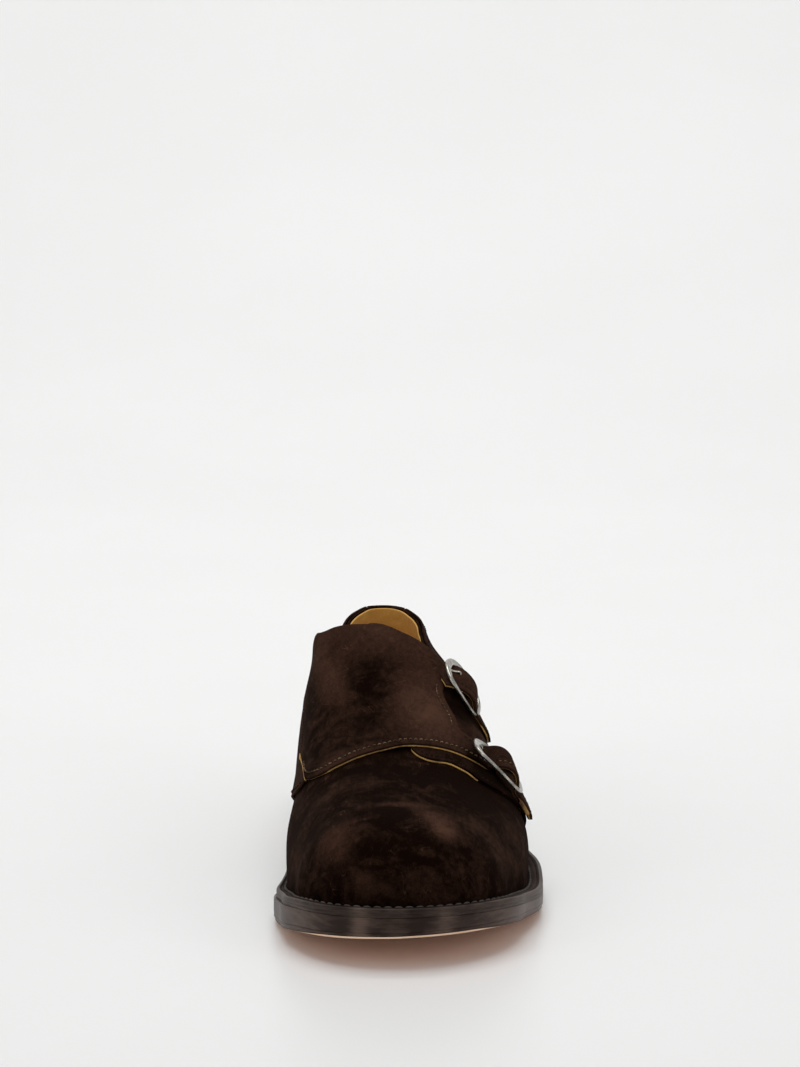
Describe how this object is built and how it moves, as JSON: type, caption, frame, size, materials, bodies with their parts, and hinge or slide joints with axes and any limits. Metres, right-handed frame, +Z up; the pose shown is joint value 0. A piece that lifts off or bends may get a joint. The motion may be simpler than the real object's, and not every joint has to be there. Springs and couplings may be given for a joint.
{
  "type": "double monk strap shoe",
  "caption": "Left low shoe with a hollow upper, buckled straps over the instep, leather welt and sole, and a stacked heel.",
  "frame": {"origin": "on the floor, under the middle of the shoe's box", "axes": "+Z up, the toe points to -Y and the heel to +Y, the outer side of the left foot is +X"},
  "size_m": [0.1128, 0.3041, 0.1028],
  "materials": {
    "upper_suede": "dark brown suede, matt and napped",
    "lining": "golden tan lining leather, smooth and matt",
    "sole_leather": "dark brown burnished sole edge, natural tan underside",
    "welt_leather": "dark brown welt, wheeled and stitched",
    "heel_stack": "dark brown burnished heel lifts",
    "heel_rubber": "black rubber, matt",
    "buckle_metal": "aged silver, softly polished"
  },
  "bodies": {
    "root": {"outsole": "sole_leather", "welt": "welt_leather", "insole": "lining", "heel_top_piece": "heel_rubber", "heel_lift_1": "heel_stack", "heel_lift_2": "heel_stack", "heel_lift_3": "heel_stack", "upper": "upper_suede", "tongue": "upper_suede", "quarter_outer": "upper_suede", "quarter_inner": "upper_suede", "backstay": "upper_suede", "strap_panel": "upper_suede", "buckle_rear_frame": "buckle_metal", "buckle_rear_bar": "buckle_metal", "buckle_rear_prong": "buckle_metal", "buckle_rear_tab": "upper_suede", "buckle_front_frame": "buckle_metal", "buckle_front_bar": "buckle_metal", "buckle_front_prong": "buckle_metal", "buckle_front_tab": "upper_suede"}
  },
  "joints": []
}
